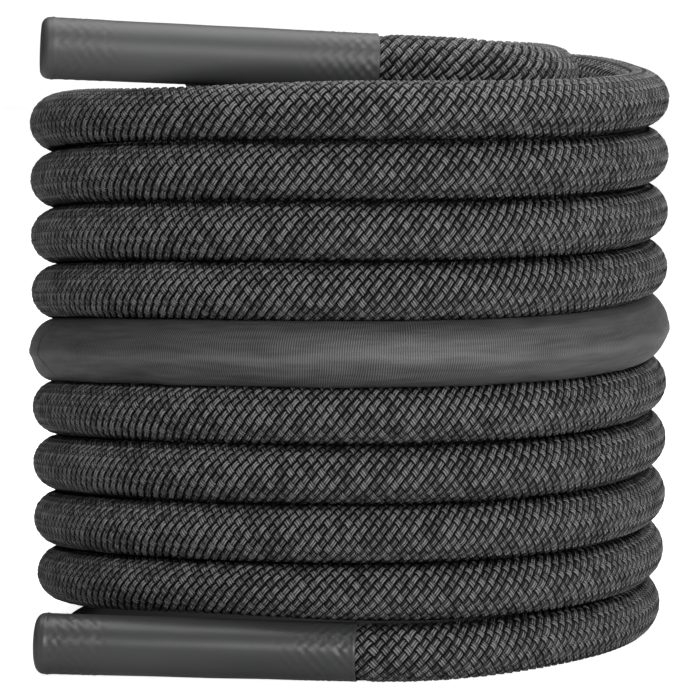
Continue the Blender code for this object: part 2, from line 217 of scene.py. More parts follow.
def sums(tree):
    """Short ways to write number and vector maths in a tree."""
    def number(operation, *values):
        return put(tree, "ShaderNodeMath", *values, operation=operation)[0]

    def vector(operation, *values):
        return put(tree, "ShaderNodeVectorMath", *values, operation=operation)[0]

    def scaled(direction, factor):
        factors = put(tree, "ShaderNodeCombineXYZ", factor, factor, factor)[0]
        return vector("MULTIPLY", direction, factors)

    return number, vector, scaled


def made_mesh(tree, name, **values):
    """Runs a tree on the rope's line and gives the result as a plain mesh object at the origin."""
    modifier = rope_line.modifiers.new(name, "NODES")
    modifier.node_group = tree
    for socket in tree.interface.items_tree:
        if socket.in_out == "INPUT" and socket.name in values:
            modifier[socket.identifier] = values[socket.name]
    evaluated = rope_line.evaluated_get(bpy.context.evaluated_depsgraph_get())
    mesh = bpy.data.meshes.new_from_object(evaluated)
    mesh.name = name
    rope_line.modifiers.remove(modifier)
    piece = bpy.data.objects.new(name, mesh)
    bpy.context.scene.collection.objects.link(piece)
    return piece


# A boot dents the stretch of rope that it touches: its mouth, direction, length, and the stretch's ends
pressing_boots = (
    (lower_mouth, lower_towards_tip, lower_length, run_of_turn(0.6), run_of_turn(1.3)),
    (upper_mouth, upper_towards_tip, upper_length, run_of_turn(8.6), run_of_turn(9.2)),
)


def place_on_rope(tree, curve, along, angle, out, half_width, half_height):
    """Nodes that give the point at this distance along the rope, angle round it and height over it.

    Angle 0 faces away from the middle of the coil, and a quarter turn is up. What would lie in a boot or
    under the floor is pushed out of it.
    """
    number, vector, scaled = sums(tree)
    radius = put(tree, "GeometryNodeInputRadius")[0]
    share, middle, tangent = put(tree, "GeometryNodeSampleCurve", curve, radius, along,
                                 data_type="FLOAT", mode="LENGTH")[:3]
    sideways = vector("NORMALIZE", vector("CROSS_PRODUCT", tangent, (0, 0, 1)))
    upright = vector("CROSS_PRODUCT", sideways, tangent)
    to_side = number("MULTIPLY", number("COSINE", angle), number("MULTIPLY_ADD", share, half_width, out))
    to_top = number("MULTIPLY", number("SINE", angle), number("MULTIPLY_ADD", share, half_height, out))
    point = vector("ADD", middle, vector("ADD", scaled(sideways, to_side), scaled(upright, to_top)))
    for mouth, towards_tip, length, first, last in pressing_boots:
        axis = put(tree, "ShaderNodeCombineXYZ", *towards_tip)[0]
        from_mouth = vector("SUBTRACT", point, tuple(mouth))
        down = number("MAXIMUM", vector("DOT_PRODUCT", from_mouth, axis), -boot_lead)
        away = vector("SUBTRACT", from_mouth, scaled(axis, number("MINIMUM", down, length)))
        short = number("SUBTRACT", boot_tip_radius + boot_gap, vector("LENGTH", away))
        pressed = number("MULTIPLY", number("GREATER_THAN", along, first),
                         number("LESS_THAN", along, last))
        push = number("MULTIPLY", pressed, number("MAXIMUM", short, 0.0))
        point = vector("ADD", point, scaled(vector("NORMALIZE", away), push))
    x, y, z = put(tree, "ShaderNodeSeparateXYZ", point)
    return put(tree, "ShaderNodeCombineXYZ", x, y, number("MAXIMUM", z, floor_gap))[0]


backing_tree, given, result = new_tree(
    "inside_of_braid", ("Rings", "Int"), ("Sides", "Int"), ("Length", "Float"), ("Half width", "Float"),
    ("Half height", "Float"), ("Material", "Material"))
number, vector, scaled = sums(backing_tree)
flat = put(backing_tree, "GeometryNodeMeshGrid", 1.0, 1.0, given["Rings"], given["Sides"])[0]
x, y, z = put(backing_tree, "ShaderNodeSeparateXYZ", put(backing_tree, "GeometryNodeInputPosition")[0])
x = number("ADD", x, 0.5)
open_part = number("GREATER_THAN", number("MINIMUM", x, number("SUBTRACT", 1.0, x)), 0.0001)
point = place_on_rope(
    backing_tree, given["Geometry"], number("MULTIPLY", x, given["Length"]),
    number("MULTIPLY", y, 2 * math.pi), 0.0, number("MULTIPLY", given["Half width"], open_part),
    number("MULTIPLY", given["Half height"], open_part))
tube = put(backing_tree, "GeometryNodeSetPosition", flat, None, point)[0]
tube = put(backing_tree, "GeometryNodeMergeByDistance", tube, None, 0.00002)[0]
tube = put(backing_tree, "GeometryNodeSetShadeSmooth", tube)[0]
tube = put(backing_tree, "GeometryNodeRealizeInstances", tube)[0]
tube = put(backing_tree, "GeometryNodeSetMaterial", tube, None, given["Material"])[0]
backing_tree.links.new(tube, result)


def new_material(name, **values):
    """A material with these numbers and colours on its shader, its tree, and the shader's inputs."""
    material = bpy.data.materials.new(name)
    material.use_nodes = True
    inputs = material.node_tree.nodes["Principled BSDF"].inputs
    for label, value in values.items():
        inputs[label.replace("_", " ")].default_value = value
    return material, material.node_tree, inputs


# The tube's near-black colour is painted shade for the gaps between the pads; the strands under it are
# real.
inside_painted_shade, nodes, shader = new_material("braid_inside", Roughness=0.9, Specular_IOR_Level=0.1)
fluff = put(nodes, "ShaderNodeTexNoise", put(nodes, "ShaderNodeTexCoord")[3], None, 900.0)[0]
shade = nodes.nodes.new("ShaderNodeValToRGB")
shade.color_ramp.elements[0].color = (0.002, 0.002, 0.002, 1)
shade.color_ramp.elements[1].color = (0.008, 0.008, 0.008, 1)
nodes.links.new(fluff, shade.inputs[0])
nodes.links.new(shade.outputs[0], shader["Base Color"])

backing = made_mesh(backing_tree, "rope_inside", **{
    "Rings": 1800, "Sides": 25, "Length": rope_length, "Half width": rope_width / 2 - braid_depth,
    "Half height": turn_rise / 2 - braid_depth, "Material": inside_painted_shade})

# ---- Braid ----
# The jacket is braided from 26 flat strands of fine black polyester, which cross over and under each other
# one by one at 57 degrees to the rope. What shows are rounded pads in 26 rows along it, which slant one
# way and the other in turn. Where a turn lies looser its pads are longer.
braid_rows = 26
strand_twist = 0.5
pad_slack = 0.15
pull_amount = 0.9
pull_middle = 0.38

braid_tree, given, result = new_tree(
    "braid", ("Start", "Float"), ("Columns", "Int"), ("Rows", "Int"), ("Pitch", "Float"),
    ("Depth", "Float"), ("Twist", "Float"), ("Half width", "Float"), ("Half height", "Float"),
    ("Seed", "Int"), ("Material", "Material"))
number, vector, scaled = sums(braid_tree)


def spread(value, swell):
    """Moves a grid's inner lines out towards its edges, where the pad bends down."""
    swollen = number("MULTIPLY", number("ABSOLUTE", value), swell)
    return number("MULTIPLY", value, number("SUBTRACT", 1 + swell, swollen))


def keep(tree, geometry, name, value, domain):
    """Stores a number on the geometry under a name, and gives the geometry and the number read back."""
    node = tree.nodes.new("GeometryNodeStoreNamedAttribute")
    node.domain = domain
    node.inputs["Name"].default_value = name
    tree.links.new(geometry, node.inputs["Geometry"])
    tree.links.new(value, node.inputs["Value"])
    return node.outputs[0], put(tree, "GeometryNodeInputNamedAttribute", name, data_type="FLOAT")[0]


def mapped(tree, geometry, place):
    """Stores a place on the corners of the geometry as the map that its threads follow."""
    node = tree.nodes.new("GeometryNodeStoreNamedAttribute")
    node.data_type, node.domain = "FLOAT2", "CORNER"
    node.inputs["Name"].default_value = "strand"
    tree.links.new(geometry, node.inputs["Geometry"])
    tree.links.new(place, node.inputs["Value"])
    return node.outputs[0]


def raised_rim(x, y, lean):
    """How near a point of a pad is to its edges, where lean weighs one pair against the other."""
    ends = number("MULTIPLY", number("POWER", number("ABSOLUTE", x), 4.0), number("SUBTRACT", 1.0, lean))
    sides = number("MULTIPLY", number("POWER", number("ABSOLUTE", y), 4.0), number("ADD", 1.0, lean))
    return number("MAXIMUM", ends, sides)


pad = put(braid_tree, "GeometryNodeMeshGrid", 2.0, 2.0, 5, 4)[0]
x, y, z = put(braid_tree, "ShaderNodeSeparateXYZ", put(braid_tree, "GeometryNodeInputPosition")[0])
pad = put(braid_tree, "GeometryNodeSetPosition", pad, None,
          put(braid_tree, "ShaderNodeCombineXYZ", spread(x, 0.75), spread(y, 0.9), 0.0)[0])[0]
local = put(braid_tree, "GeometryNodeInputPosition")[0]
pad = mapped(braid_tree, pad, local)

spots = put(braid_tree, "GeometryNodePoints", number("MULTIPLY", given["Columns"], given["Rows"]))[0]
index = put(braid_tree, "GeometryNodeInputIndex")[0]
row = number("FLOORED_MODULO", index, given["Rows"])
column = number("FLOOR", number("DIVIDE", index, given["Rows"]))
chance = put(braid_tree, "FunctionNodeRandomValue", None, None, None, given["Seed"],
             data_type="FLOAT")[0]
from_start = number("ADD", column, number("MULTIPLY", number("FLOORED_MODULO", row, 2.0), 0.5))
pads = put(braid_tree, "GeometryNodeInstanceOnPoints", spots, None, pad)[0]
pads, from_start = keep(braid_tree, pads, "from_start", from_start, "INSTANCE")
pads, row = keep(braid_tree, pads, "row", row, "INSTANCE")
pads, tone = keep(braid_tree, pads, "tone", chance, "INSTANCE")
pads = put(braid_tree, "GeometryNodeRealizeInstances", pads)[0]

# Slack makes each pad a little longer and wider than its cell, so that it tucks in under the next. Where
# one set of strands is pulled tighter, the joints across it close up and the others open.
x, y, z = put(braid_tree, "ShaderNodeSeparateXYZ", local)
way = number("SUBTRACT", 1.0, number("MULTIPLY", number("FLOORED_MODULO", row, 2.0), 2.0))
place = put(braid_tree, "ShaderNodeCombineXYZ", from_start, row, given["Seed"])[0]
pull = put(braid_tree, "ShaderNodeTexNoise", place, None, 0.06, 2.0, 0.5)[0]
lean = number("MULTIPLY_ADD", pull, pull_amount, pull_middle - pull_amount / 2)
lean = number("MULTIPLY", way, lean)
rim = raised_rim(x, y, lean)
crown = number("MULTIPLY_ADD", number("MULTIPLY", x, x), 0.30,
               number("MULTIPLY", number("MULTIPLY", y, y), 0.22))
x, y = number("MULTIPLY", x, 1 + pad_slack), number("MULTIPLY", y, 1 - pad_slack / 3)
reach = number("MULTIPLY", number("SUBTRACT", x, number("MULTIPLY", way, y)), 0.25)
climb = number("MULTIPLY", number("MULTIPLY_ADD", way, x, y), 0.5)
along = number("MULTIPLY_ADD", number("ADD", reach, from_start), given["Pitch"], given["Start"])
in_rows = number("ADD", number("ADD", climb, row), number("MULTIPLY", along, given["Twist"]))
angle = number("DIVIDE", number("MULTIPLY", in_rows, 2 * math.pi), given["Rows"])

# Pads near the rope's top or bottom, where a turn lies above or below, get painted shade: their colour is
# darkened for the light that those turns keep from them.
way_up = number("SINE", angle)
covered = number("LESS_THAN", along, run_of_turn(8.3))
covered = number("MULTIPLY", number("GREATER_THAN", way_up, 0.0), covered)
lifted = number("GREATER_THAN", along, run_of_turn(0.75))
lifted = number("MULTIPLY", number("LESS_THAN", way_up, 0.0), lifted)
near_turn = number("MULTIPLY", number("ADD", covered, lifted), number("ABSOLUTE", way_up))
painted_turn_shade = put(braid_tree, "ShaderNodeMapRange", near_turn, 0.80, 1.0, 0.0, 1.0,
              interpolation_type="SMOOTHSTEP")[0]
out = number("SUBTRACT", number("MULTIPLY", tone, 0.00020),
             number("MULTIPLY", number("ADD", rim, crown), given["Depth"]))
point = place_on_rope(braid_tree, given["Geometry"], along, angle, out, given["Half width"],
                      given["Half height"])
pads = keep(braid_tree, pads, "painted_turn_shade", painted_turn_shade, "POINT")[0]
pads = keep(braid_tree, pads, "lean", lean, "POINT")[0]
pads = put(braid_tree, "GeometryNodeSetPosition", pads, None, point)[0]
pads = put(braid_tree, "GeometryNodeSetShadeSmooth", pads)[0]
pads = put(braid_tree, "GeometryNodeSetMaterial", pads, None, given["Material"])[0]
braid_tree.links.new(pads, result)


def new_group(name, inputs, outputs):
    """A shader group with named inputs, given as (label, value) pairs, and named number outputs."""
    group = bpy.data.node_groups.new(name, "ShaderNodeTree")
    for label, value in inputs:
        kind = "NodeSocketFloat" if isinstance(value, float) else "NodeSocketVector"
        group.interface.new_socket(label, in_out="INPUT", socket_type=kind).default_value = value
    for label in outputs:
        group.interface.new_socket(label, in_out="OUTPUT", socket_type="NodeSocketFloat")
    return group, group.nodes.new("NodeGroupInput").outputs, group.nodes.new("NodeGroupOutput").inputs


# Fine ridges that run along a strand or thread and waver a little, each with its own brightness.
yarn_group, given, result = new_group(
    "yarn_lines", [("Along", 0.0), ("Across", 0.0), ("Lines", 5.0), ("Waver", 0.3), ("Change", 1.0)],
    ["Ridge", "Fleck"])
number, vector, scaled = sums(yarn_group)
changing = number("MULTIPLY", given["Along"], given["Change"])
spot = put(yarn_group, "ShaderNodeCombineXYZ", changing, given["Across"], 0.0)[0]
drift = number("SUBTRACT", put(yarn_group, "ShaderNodeTexNoise", spot, None, 1.0, 1.0)[0], 0.5)
phase = number("MULTIPLY_ADD", drift, given["Waver"], given["Across"])
phase = number("MULTIPLY", phase, given["Lines"])
wave = number("SINE", number("MULTIPLY", phase, 2 * math.pi))
yarn_group.links.new(number("MULTIPLY_ADD", wave, 0.5, 0.5), result["Ridge"])
line = number("MULTIPLY", given["Lines"], given["Across"])
spot = put(yarn_group, "ShaderNodeCombineXYZ", given["Along"], line, 3.0)[0]
yarn_group.links.new(put(yarn_group, "ShaderNodeTexNoise", spot, None, 2.2, 2.0)[0], result["Fleck"])


def grey_ramp(nodes, value, *stops):
    """A colour ramp from (place, grey, warmth) stops."""
    node = nodes.nodes.new("ShaderNodeValToRGB")
    elements = node.color_ramp.elements
    while len(elements) < len(stops):
        elements.new(0.5)
    for element, (place, grey, warmth) in zip(elements, stops):
        element.position = place
        element.color = (grey * (1 + warmth), grey, grey * (1 - warmth), 1)
    nodes.links.new(value, node.inputs[0])
    return node.outputs[0]


def add_group(nodes, group, **values):
    """Places a group in a material with its own values and links, and gives its outputs."""
    node = nodes.nodes.new("ShaderNodeGroup")
    node.node_tree = group
    for label, value in values.items():
        if isinstance(value, bpy.types.NodeSocket):
            nodes.links.new(value, node.inputs[label])
        else:
            node.inputs[label].default_value = value
    return node.outputs


braid_black, nodes, shader = new_material("braided_polyester", Roughness=0.5, Specular_IOR_Level=0.15)
number, vector, scaled = sums(nodes)
x, y, z = put(nodes, "ShaderNodeSeparateXYZ", put(nodes, "ShaderNodeUVMap", uv_map="strand")[0])
pad_tone = put(nodes, "ShaderNodeAttribute", attribute_name="tone")[2]
shifted = number("MULTIPLY_ADD", pad_tone, 40.0, x)
yarn = add_group(nodes, yarn_group, Along=shifted, Across=y, Lines=1.5, Waver=0.25, Change=0.8)
lean = put(nodes, "ShaderNodeAttribute", attribute_name="lean")[2]
rim = raised_rim(x, y, lean)
light = number("MULTIPLY_ADD", yarn["Ridge"], 0.75, number("MULTIPLY", yarn["Fleck"], 0.80))
light = number("MULTIPLY", light, number("MULTIPLY_ADD", pad_tone, 0.45, 0.7))
# Darker towards each pad's edges: painted shade in the grooves between the pads.
light = number("SUBTRACT", light, number("MULTIPLY", rim, 1.3))
# Painted shade from the neighbouring turns darkens these pads' colour.
turn_shade_read = put(nodes, "ShaderNodeAttribute", attribute_name="painted_turn_shade")[2]
light = number("SUBTRACT", light, number("MULTIPLY", turn_shade_read, 0.5))
nodes.links.new(grey_ramp(nodes, light, (0.08, 0.002, 0), (0.45, 0.046, 0), (1.0, 0.230, 0)),
                shader["Base Color"])
bump = put(nodes, "ShaderNodeBump", 1.0, 0.00025, 0.1, number("ADD", yarn["Ridge"], yarn["Fleck"]))
nodes.links.new(bump[0], shader["Normal"])
nodes.links.new(number("MULTIPLY_ADD", yarn["Fleck"], -0.3, 0.62), shader["Roughness"])

# Length of a pad along each piece, from the lower end to the upper one. The pieces meet at the back of
# the coil, and those next to a boot or the sleeve end a little way under it.
pad_lengths = (0.00610, 0.00598, 0.00557, 0.00572, 0.00565, 0.00572, 0.00578, 0.00600, 0.00625,
               0.00625, 0.00660)
sleeve_length = 1.0
under_sleeve = 0.010
under_boot = 0.012
sleeve_from = run_of_turn(sleeve_turn) - sleeve_length / 2
sleeve_to = sleeve_from + sleeve_length
coil_end = run_of_turn(9.23)
stops = [lower_length - under_boot, *(run_of_turn(turn + 0.5) for turn in range(4)),
         sleeve_from + under_sleeve]
spans = list(zip(stops, stops[1:]))
stops = [sleeve_to - under_sleeve, *(run_of_turn(turn + 0.5) for turn in range(6, 9)), coil_end,
         0.5 * (coil_end + rope_length), rope_length - upper_length + under_boot]
spans += list(zip(stops, stops[1:]))
braid_pieces = []
for place, ((start, end), pad_length) in enumerate(zip(spans, pad_lengths)):
    columns = round((end - start) / pad_length)
    braid_pieces.append(made_mesh(braid_tree, f"braid_{place + 1:02d}", **{
        "Start": start, "Columns": columns, "Rows": braid_rows, "Pitch": (end - start) / columns,
        "Depth": braid_depth, "Twist": strand_twist, "Half width": rope_width / 2,
        "Half height": turn_rise / 2, "Seed": place, "Material": braid_black}))

for piece in [backing, *braid_pieces]:
    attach(piece, "root")
    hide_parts("rope_jacket")

# ---- Anchor sleeve ----
# A loose tube of black ribbed webbing, a metre long, which keeps the anchor from wearing the braid. It is
# pulled over the rope before the boots are fitted, and its ends are turned in and sewn with two rows of
# stitches. It bags a little, has soft folds along its front, and gathers in a sharp one at the left.
sleeve_wall = 0.0008
sleeve_slack = 0.0009
rib_width = 0.00066
hem_width = 0.025
hem_rise = 0.0007
gather_turn = 4.80

sleeve_tree, given, result = new_tree(
    "anchor_sleeve", ("Start", "Float"), ("Length", "Float"), ("Rings", "Int"), ("Sides", "Int"),
    ("Half width", "Float"), ("Half height", "Float"), ("Rib height", "Float"), ("Bag", "Float"),
    ("Crease", "Float"), ("Hem", "Float"), ("Gather", "Float"), ("Seed", "Int"),
    ("Material", "Material"))
number, vector, scaled = sums(sleeve_tree)


def hill(value, middle, width):
    """Bell curve round a middle."""
    off = number("DIVIDE", number("SUBTRACT", value, middle), width)
    return number("EXPONENT", number("MULTIPLY", number("MULTIPLY", off, off), -1.0))


def waves(x, waves_a_metre, y, detail=2.0):
    """Smooth noise from -1 to 1 over a length and one more number."""
    x = number("MULTIPLY", x, waves_a_metre)
    place = put(sleeve_tree, "ShaderNodeCombineXYZ", x, y, given["Seed"])[0]
    value = put(sleeve_tree, "ShaderNodeTexNoise", place, None, 1.0, detail, 0.5)[0]
    return number("MULTIPLY", number("SUBTRACT", value, 0.5), 2.0)


flat = put(sleeve_tree, "GeometryNodeMeshGrid", 1.0, 1.0, given["Rings"], given["Sides"])[0]
x, y, z = put(sleeve_tree, "ShaderNodeSeparateXYZ", put(sleeve_tree, "GeometryNodeInputPosition")[0])
share = number("ADD", x, 0.5)
along = number("MULTIPLY", share, given["Length"])
angle = number("MULTIPLY", y, 2 * math.pi)
off_seam = number("MULTIPLY", number("SUBTRACT", math.pi, number("ABSOLUTE", angle)), 2.0)
off_seam = number("MINIMUM", off_seam, 1.0)
ring = number("ROUND", number("MULTIPLY", share, number("SUBTRACT", given["Rings"], 1.0)))
rib = number("FLOORED_MODULO", ring, 2.0)
from_end = number("MINIMUM", along, number("SUBTRACT", given["Length"], along))
upper, lower = hill(angle, 1.05, 0.42), hill(angle, -1.05, 0.42)

# The slack above and below the front, and smaller dents all round but for the seam.
top_waves, low_waves = waves(along, 16.0, 0.0), waves(along, 13.0, 5.0)
dents = waves(along, 11.0, number("MULTIPLY", angle, 1.3))
bag = number("MULTIPLY", upper, number("MULTIPLY_ADD", top_waves, 0.35, 0.25))
bag = number("ADD", bag, number("MULTIPLY", lower, number("MULTIPLY_ADD", low_waves, 0.8, 0.5)))
bag = number("MULTIPLY_ADD", number("MULTIPLY", off_seam, 0.25), dents, bag)

# A fold along the front that comes and goes, and one that wanders under it.
fold_angle = number("MULTIPLY_ADD", waves(along, 5.0, 9.0, 0.0), 0.16, -0.10)
fold_size = number("MULTIPLY_ADD", waves(along, 7.0, 12.0, 0.0), 0.5, 0.8)
fold = number("MULTIPLY", hill(angle, fold_angle, 0.15), fold_size)
low_fold = hill(angle, number("MULTIPLY_ADD", low_waves, 0.5, -0.55), 0.16)
low_size = number("MULTIPLY", waves(along, 9.0, 20.0, 1.0), 0.9)
fold = number("MULTIPLY_ADD", low_fold, low_size, fold)

# The hem, its turned edge, and the groove of the gather, which opens to the right above and below.
hem = number("POWER", number("COSINE", angle), 2.0)
hem = number("MULTIPLY", number("LESS_THAN", from_end, hem_width), hem)
turned_in = number("MULTIPLY", number("LESS_THAN", from_end, 0.0012), -0.0014)
slack_line = number("ABSOLUTE", number("SUBTRACT", angle, 0.1))
slack_line = number("MULTIPLY_ADD", slack_line, 0.016, given["Gather"])
gather = number("MULTIPLY", hill(along, slack_line, 0.0013), hill(angle, 0.1, 0.9))
out = number("MULTIPLY_ADD", rib, given["Rib height"], turned_in)
out = number("MULTIPLY_ADD", gather, -0.0014, out)
out = number("MULTIPLY_ADD", bag, given["Bag"], out)
out = number("MULTIPLY_ADD", fold, given["Crease"], out)
out = number("MULTIPLY_ADD", hem, given["Hem"], out)

# The ribs lean where the slack pulls them along, and waver all round but for the seam.
pull = number("MULTIPLY", number("SINE", angle), number("ABSOLUTE", number("SINE", angle)))
shift = number("MULTIPLY", pull, number("MULTIPLY_ADD", top_waves, 0.0030, 0.0022))
wavering = waves(along, 60.0, number("MULTIPLY", angle, 3.0))
shift = number("MULTIPLY_ADD", number("MULTIPLY", off_seam, 0.0005), wavering, shift)
shift = number("MULTIPLY", shift, number("MINIMUM", number("MULTIPLY", from_end, 20.0), 1.0))
sleeve = mapped(sleeve_tree, flat, put(sleeve_tree, "ShaderNodeCombineXYZ", along, angle, 0.0)[0])
sleeve = keep(sleeve_tree, sleeve, "rib", rib, "POINT")[0]
# Stored to paint the colour: lighter on the folds as a painted highlight, darker in the gather's groove as
# painted shade.
fold_light_gather_shade = number("SUBTRACT", fold, number("MULTIPLY", gather, 0.6))
sleeve = keep(sleeve_tree, sleeve, "fold", fold_light_gather_shade, "POINT")[0]
sleeve_run = number("ADD", number("ADD", along, shift), given["Start"])
point = place_on_rope(sleeve_tree, given["Geometry"], sleeve_run, angle, out, given["Half width"],
                      given["Half height"])
sleeve = put(sleeve_tree, "GeometryNodeSetPosition", sleeve, None, point)[0]
sleeve = put(sleeve_tree, "GeometryNodeSetShadeSmooth", sleeve)[0]
sleeve = put(sleeve_tree, "GeometryNodeRealizeInstances", sleeve)[0]
sleeve = put(sleeve_tree, "GeometryNodeSetMaterial", sleeve, None, given["Material"])[0]
sleeve_tree.links.new(sleeve, result)

webbing_black, nodes, shader = new_material("ribbed_webbing", Roughness=0.55, Sheen_Weight=0.1,
                                            Sheen_Roughness=0.35)
number, vector, scaled = sums(nodes)
x, y, z = put(nodes, "ShaderNodeSeparateXYZ", put(nodes, "ShaderNodeUVMap", uv_map="strand")[0])
rib = put(nodes, "ShaderNodeAttribute", attribute_name="rib")[2]
run_on = number("MULTIPLY", x, 9.0)
thread = add_group(nodes, yarn_group, Along=run_on, Across=y, Lines=9.0, Waver=0.5, Change=2.0)
grain = put(nodes, "ShaderNodeTexNoise", put(nodes, "ShaderNodeTexCoord")[3], None, 45.0, 3.0)[0]
stretch = vector("MULTIPLY", put(nodes, "ShaderNodeUVMap", uv_map="strand")[0], (16.0, 2.6, 0.0))
streak = put(nodes, "ShaderNodeTexNoise", stretch, None, 1.0, 3.0, 0.6)[0]
# Rib peaks are lighter and the valleys between them darker: painted highlight and painted shade of the
# ribs.
light = number("MULTIPLY_ADD", rib, 0.75, number("MULTIPLY", thread["Fleck"], 0.35))
light = number("ADD", light, number("MULTIPLY_ADD", grain, 0.35, -0.35))
light = number("MULTIPLY_ADD", streak, 0.5, light)
# Painted highlight on the folds and painted shade in the gather.
painted_fold_light_and_shade = put(nodes, "ShaderNodeAttribute", attribute_name="fold")[2]
light = number("MULTIPLY_ADD", painted_fold_light_and_shade, 0.40, light)
nodes.links.new(grey_ramp(nodes, light, (0.2, 0.009, 0), (0.55, 0.032, 0), (1.0, 0.110, 0)),
                shader["Base Color"])
bump = put(nodes, "ShaderNodeBump", 0.5, 0.0001, 0.1, number("ADD", rib, thread["Ridge"]))
nodes.links.new(bump[0], shader["Normal"])
nodes.links.new(number("MULTIPLY_ADD", grain, 0.25, 0.42), shader["Roughness"])

sleeve = made_mesh(sleeve_tree, "webbing_sleeve", **{
    "Start": sleeve_from, "Length": sleeve_length, "Rings": 2 * round(sleeve_length / rib_width / 2) + 1,
    "Sides": 49, "Half width": rope_width / 2 + sleeve_wall,
    "Half height": turn_rise / 2 + sleeve_step + sleeve_slack, "Rib height": 0.00018, "Bag": 0.0016,
    "Crease": 0.0013, "Hem": hem_rise, "Gather": run_of_turn(gather_turn) - sleeve_from, "Seed": 3,
    "Material": webbing_black})

# The stitches of both hems are short grains of thread that sink into the webbing at their ends.
stitch_share = 0.42
stitch_tree, given, result = new_tree(
    "hem_stitches", ("Start", "Float"), ("Row gap", "Float"), ("Count", "Int"), ("Thickness", "Float"),
    ("Half width", "Float"), ("Half height", "Float"), ("Material", "Material"))
number, vector, scaled = sums(stitch_tree)
grain = put(stitch_tree, "GeometryNodeMeshGrid", 2.0, 2.0, 7, 5)[0]
local = put(stitch_tree, "GeometryNodeInputPosition")[0]
grain = mapped(stitch_tree, grain, local)
spots = put(stitch_tree, "GeometryNodePoints", number("MULTIPLY", given["Count"], 2.0))[0]
index = put(stitch_tree, "GeometryNodeInputIndex")[0]
line = number("FLOOR", number("DIVIDE", index, given["Count"]))
step = number("FLOORED_MODULO", index, given["Count"])
stitches = put(stitch_tree, "GeometryNodeInstanceOnPoints", spots, None, grain)[0]
stitches, line = keep(stitch_tree, stitches, "line", line, "INSTANCE")
stitches, step = keep(stitch_tree, stitches, "step", step, "INSTANCE")
stitches = put(stitch_tree, "GeometryNodeRealizeInstances", stitches)[0]
x, y, z = put(stitch_tree, "ShaderNodeSeparateXYZ", local)
angle = number("DIVIDE", number("MULTIPLY_ADD", x, -stitch_share, step), given["Count"])
angle = number("MULTIPLY", angle, 2 * math.pi)
along = number("MULTIPLY_ADD", y, given["Thickness"], given["Start"])
along = number("MULTIPLY_ADD", line, given["Row gap"], along)
sunk = number("ADD", number("POWER", number("ABSOLUTE", x), 4.0), number("POWER", y, 2.0))
bulge = number("SUBTRACT", 1.0, sunk)
hem = number("MULTIPLY", number("POWER", number("COSINE", angle), 2.0), hem_rise)
out = number("ADD", number("MULTIPLY_ADD", bulge, given["Thickness"], 0.0001), hem)
point = place_on_rope(stitch_tree, given["Geometry"], along, angle, out, given["Half width"],
                      given["Half height"])
stitches = put(stitch_tree, "GeometryNodeSetPosition", stitches, None, point)[0]
stitches = put(stitch_tree, "GeometryNodeSetShadeSmooth", stitches)[0]
stitches = put(stitch_tree, "GeometryNodeSetMaterial", stitches, None, given["Material"])[0]
stitch_tree.links.new(stitches, result)

thread_black, nodes, shader = new_material("bonded_thread", Roughness=0.4)
x, y, z = put(nodes, "ShaderNodeSeparateXYZ", put(nodes, "ShaderNodeUVMap", uv_map="strand")[0])
ply = add_group(nodes, yarn_group, Along=y, Across=x, Lines=2.0, Waver=0.3, Change=1.0)
nodes.links.new(grey_ramp(nodes, ply["Ridge"], (0.0, 0.012, 0), (1.0, 0.05, 0)), shader["Base Color"])

outer_margin, inner_margin = 0.004, 0.003
hem_stitches = []
for name, start in (("hem_stitches_start", sleeve_from + outer_margin),
                    ("hem_stitches_end", sleeve_to - hem_width + inner_margin)):
    hem_stitches.append(made_mesh(stitch_tree, name, **{
        "Start": start, "Row gap": hem_width - outer_margin - inner_margin, "Count": 40,
        "Thickness": 0.0004,
        "Half width": rope_width / 2 + sleeve_wall, "Half height": turn_rise / 2 + sleeve_wall / 2,
        "Material": thread_black}))

for piece in [sleeve, *hem_stitches]:
    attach(piece, "root")
    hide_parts("anchor_sleeve")

# ---- Grip boots ----
# A boot of black heat-shrink rubber closes each end of the rope and is its grip. It is shrunk over the
# braid and its tape, so that both show faintly through it, and its mouth is rolled. The upper one is a
# little duller.
lip = 0.0006
boot_ridge = 0.0004
boot_corner = 0.0050
boot_bore_radius = 0.0170
boot_end_wall = 0.0030
boot_floor_gap = 0.0002
boot_sides = 96
boot_rings = 190


def boot_profile(length):
    """Rings along a boot's wall as (distance from the mouth, radius, whether it gets the relief).

    They run from the middle of its end round the corner, along the outside to the mouth, and back in.
    """
    corner_middle = boot_tip_radius - boot_corner
    line = [(length, corner_middle * share, False) for share in (0.0, 0.5, 0.85)]
    for step in range(9):
        angle = math.pi / 2 * (1 - step / 8)
        line.append((length - boot_corner * (1 - math.sin(angle)),
                     corner_middle + boot_corner * math.cos(angle), True))
    for ring in range(1, boot_rings + 1):
        place = (length - boot_corner) * (1 - ring / boot_rings) + lip * ring / boot_rings
        taper = boot_mouth_radius + (boot_tip_radius - boot_mouth_radius) * place / length
        line.append((place, taper, True))
    wall = boot_mouth_radius - boot_bore_radius
    for step in range(1, 7):
        angle = math.pi * step / 6
        radius = boot_bore_radius + wall * (1 + math.cos(angle)) / 2
        line.append((lip * (1 - math.sin(angle)), radius, False))
    floor_of_bore = length - boot_end_wall
    line += [(0.03, boot_bore_radius, False), (floor_of_bore, boot_bore_radius, False),
             (floor_of_bore, 0.0, False)]
    return line


